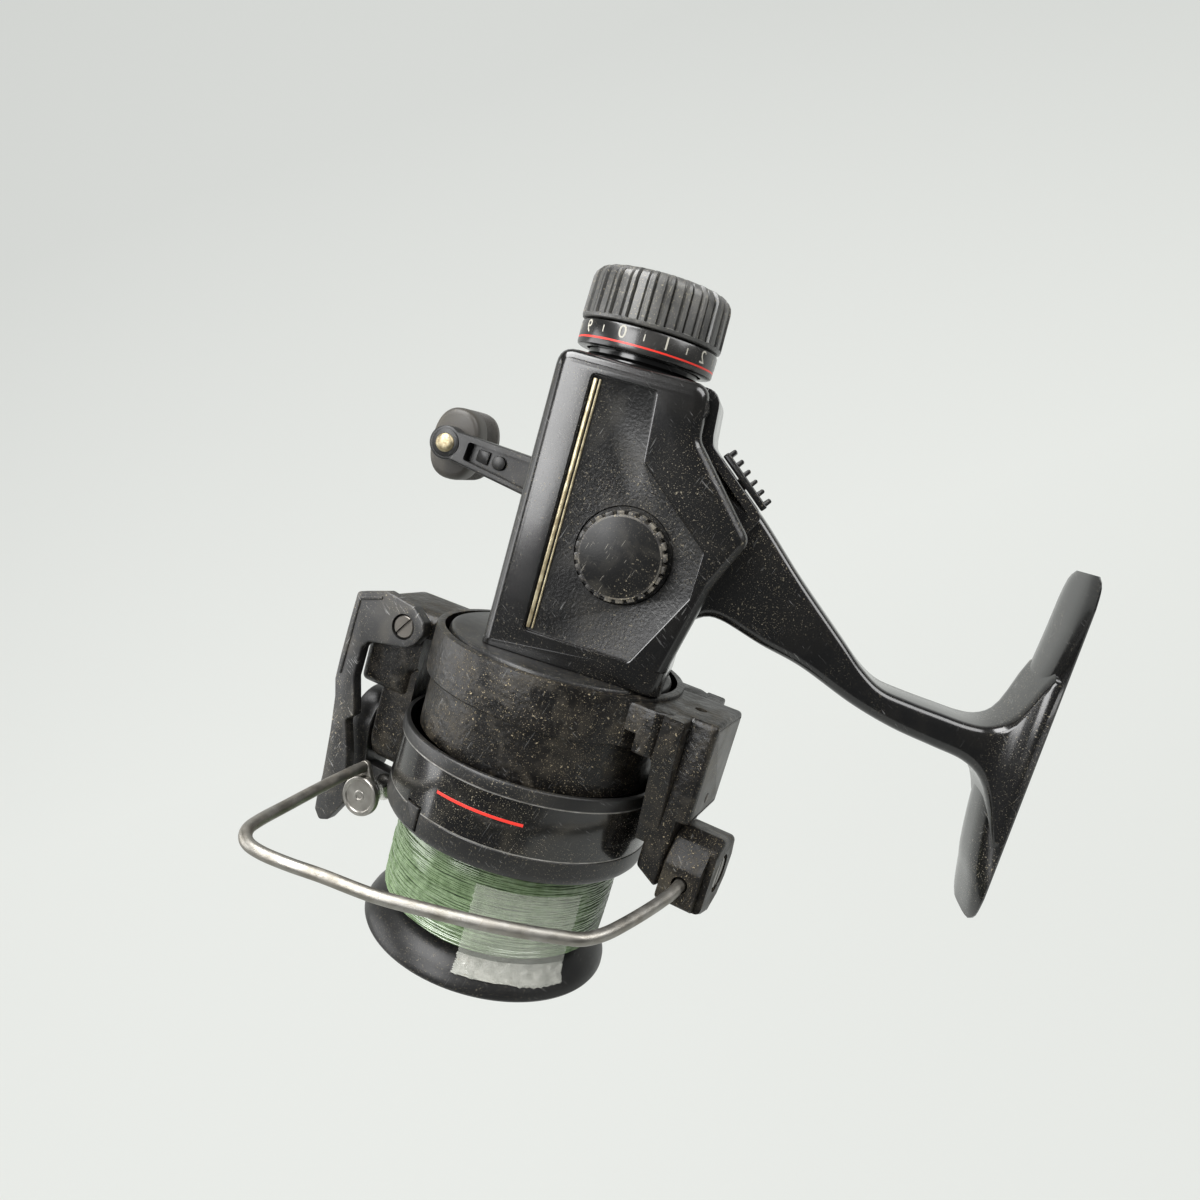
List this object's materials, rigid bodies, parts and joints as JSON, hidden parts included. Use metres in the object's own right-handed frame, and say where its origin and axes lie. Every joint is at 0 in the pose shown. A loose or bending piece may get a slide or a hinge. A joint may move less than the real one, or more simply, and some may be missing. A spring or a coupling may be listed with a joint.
{
  "type": "spinning reel",
  "caption": "Spinning reel with a rear drag knob, an open-arm rotor, a wire bail with a finger trigger, a skirted spool of line and a cranked handle.",
  "frame": {"origin": "middle of the foot's flat upper face, where it lies against the rod's reel seat", "axes": "+X forward along the rod towards its tip, +Y to the handle's side, +Z out of the foot's face into the rod"},
  "size_m": [0.1246, 0.1253, 0.1386],
  "materials": {
    "main_housing": "glossy black moulded resin",
    "side_cover": "glossy black moulded resin",
    "cover_screw_nose": "plain steel",
    "cover_screw_crown": "plain steel",
    "cover_screw_tail": "plain steel",
    "bearing_plate": "satin black resin",
    "drive_bush_cover": "sintered bronze",
    "drive_bush_housing": "sintered bronze",
    "bearing_outer_race": "plain steel",
    "bearing_balls": "plain steel",
    "pinion_rear_bush": "white acetal resin",
    "slider_rail": "plain steel",
    "eared_washer_front": "plain steel",
    "eared_washer_rear": "plain steel",
    "drag_spring": "plain steel",
    "pawl_pin": "plain steel",
    "oscillating_axle": "plain steel",
    "anti_reverse_switch": "satin black moulded resin",
    "anti_reverse_pawl": "plain steel",
    "handle_arm": "satin black moulded resin",
    "handle_shaft": "plain steel",
    "drive_gear": "cast alloy",
    "handle_cap": "matt dark grey resin",
    "knob_rivet": "dull brass",
    "handle_knob": "dark grey-brown rubber",
    "oscillating_gear": "white acetal resin",
    "rotor": "satin black moulded resin",
    "arm_cover": "matt dark grey resin",
    "pinion": "dull brass",
    "rotor_nut": "plain steel",
    "ratchet_wheel": "plain steel",
    "bearing_inner_race": "plain steel",
    "pivot_screw_block": "plain steel",
    "pivot_screw_arm": "plain steel",
    "trigger_screw": "plain steel",
    "bail_spring": "plain steel",
    "bail_wire": "plain steel",
    "bail_block": "satin black moulded resin",
    "bail_arm": "satin black moulded resin",
    "roller_screw": "plain steel",
    "line_roller": "plain steel",
    "bail_trigger": "matt dark grey resin",
    "crosshead": "white acetal resin",
    "spool": "satin black moulded resin",
    "main_shaft": "plain steel",
    "line_core": "pale green nylon line",
    "line_winding": "pale green nylon line",
    "line_tape": "clear yellowish tape",
    "line_clip": "matt dark grey resin",
    "spool_button": "matt dark grey resin",
    "keyed_washer_front": "brown fibre friction washer",
    "keyed_washer_rear": "brown fibre friction washer",
    "drag_knob": "matt dark grey resin",
    "drag_scale": "satin black moulded resin"
  },
  "bodies": {
    "housing": {"main_housing": "main_housing", "side_cover": "side_cover", "cover_screw_nose": "cover_screw_nose", "cover_screw_crown": "cover_screw_crown", "cover_screw_tail": "cover_screw_tail", "bearing_plate": "bearing_plate", "drive_bush_cover": "drive_bush_cover", "drive_bush_housing": "drive_bush_housing", "bearing_outer_race": "bearing_outer_race", "bearing_balls": "bearing_balls", "pinion_rear_bush": "pinion_rear_bush", "slider_rail": "slider_rail", "eared_washer_front": "eared_washer_front", "eared_washer_rear": "eared_washer_rear", "drag_spring": "drag_spring", "pawl_pin": "pawl_pin", "oscillating_axle": "oscillating_axle"},
    "switch": {"anti_reverse_switch": "anti_reverse_switch"},
    "pawl": {"anti_reverse_pawl": "anti_reverse_pawl"},
    "handle": {"handle_arm": "handle_arm", "handle_shaft": "handle_shaft", "drive_gear": "drive_gear", "handle_cap": "handle_cap", "knob_rivet": "knob_rivet"},
    "grip": {"handle_knob": "handle_knob"},
    "oscillator": {"oscillating_gear": "oscillating_gear"},
    "rotor_group": {"rotor": "rotor", "arm_cover": "arm_cover", "pinion": "pinion", "rotor_nut": "rotor_nut", "ratchet_wheel": "ratchet_wheel", "bearing_inner_race": "bearing_inner_race", "pivot_screw_block": "pivot_screw_block", "pivot_screw_arm": "pivot_screw_arm", "trigger_screw": "trigger_screw", "bail_spring": "bail_spring"},
    "bail": {"bail_wire": "bail_wire", "bail_block": "bail_block", "bail_arm": "bail_arm", "roller_screw": "roller_screw"},
    "roller": {"line_roller": "line_roller"},
    "trigger": {"bail_trigger": "bail_trigger"},
    "carriage": {"crosshead": "crosshead"},
    "spool_group": {"spool": "spool", "main_shaft": "main_shaft", "line_core": "line_core", "line_winding": "line_winding", "line_tape": "line_tape", "line_clip": "line_clip"},
    "button": {"spool_button": "spool_button"},
    "keyed_washers": {"keyed_washer_front": "keyed_washer_front", "keyed_washer_rear": "keyed_washer_rear"},
    "drag_adjuster": {"drag_knob": "drag_knob", "drag_scale": "drag_scale"}
  },
  "joints": [
    {"name": "handle_turn", "type": "hinge", "parent": "housing", "child": "handle", "pos_m": [-0.0119, 0, -0.0745], "axis": [0, 1, 0], "continuous": true},
    {"name": "grip_spin", "type": "hinge", "parent": "handle", "child": "grip", "pos_m": [-0.01795, 0.07, -0.1324], "axis": [0, 1, 0], "continuous": true},
    {"name": "rotor_turn", "type": "hinge", "parent": "housing", "child": "rotor_group", "pos_m": [0, 0, -0.082], "axis": [1, 0, 0], "continuous": true},
    {"name": "oscillator_turn", "type": "hinge", "parent": "housing", "child": "oscillator", "pos_m": [-0.0184, 0, -0.08411], "axis": [0, 1, 0], "continuous": true},
    {"name": "bail_swing", "type": "hinge", "parent": "rotor_group", "child": "bail", "pos_m": [0.037, 0, -0.082], "axis": [0, -0.2419, 0.9703], "range_deg": [0, 110]},
    {"name": "roller_spin", "type": "hinge", "parent": "bail", "child": "roller", "pos_m": [0.0476, -0.00089, -0.10984], "axis": [0, 0.9703, 0.2419], "continuous": true},
    {"name": "trigger_swing", "type": "hinge", "parent": "rotor_group", "child": "trigger", "pos_m": [0.01375, 0.0066, -0.10849], "axis": [0, 0.9703, 0.2419], "range_deg": [0, 12], "stiffness_Nm_per_rad": 0.02, "springref_deg": -11.46},
    {"name": "spool_stroke", "type": "slide", "parent": "housing", "child": "carriage", "axis": [1, 0, 0], "range_m": [-0.012, 0]},
    {"name": "spool_turn", "type": "hinge", "parent": "carriage", "child": "spool_group", "pos_m": [0, 0, -0.082], "axis": [1, 0, 0], "continuous": true},
    {"name": "keyed_washers_turn", "type": "hinge", "parent": "housing", "child": "keyed_washers", "pos_m": [-0.033, 0, -0.082], "axis": [1, 0, 0], "continuous": true},
    {"name": "button_push", "type": "slide", "parent": "spool_group", "child": "button", "axis": [-1, 0, 0], "range_m": [0, 0.002], "stiffness_N_per_m": 300, "springref_m": -0.002},
    {"name": "drag_adjust", "type": "hinge", "parent": "housing", "child": "drag_adjuster", "pos_m": [-0.05, 0, -0.082], "axis": [1, 0, 0], "range_deg": [-150, 150]},
    {"name": "switch_slide", "type": "slide", "parent": "housing", "child": "switch", "axis": [-0.6239, 0, -0.7815], "range_m": [0, 0.002]},
    {"name": "pawl_lift", "type": "hinge", "parent": "housing", "child": "pawl", "pos_m": [0.0126, 0, -0.067], "axis": [1, 0, 0], "range_deg": [0, 12]}
  ],
  "couplings": [
    {"joint": "rotor_turn", "follows": "handle_turn", "ratio": -5},
    {"joint": "oscillator_turn", "follows": "handle_turn", "ratio": -0.5},
    {"joint": "keyed_washers_turn", "follows": "spool_turn", "ratio": 1},
    {"joint": "pawl_lift", "follows": "switch_slide", "rad_per_m": 103}
  ]
}
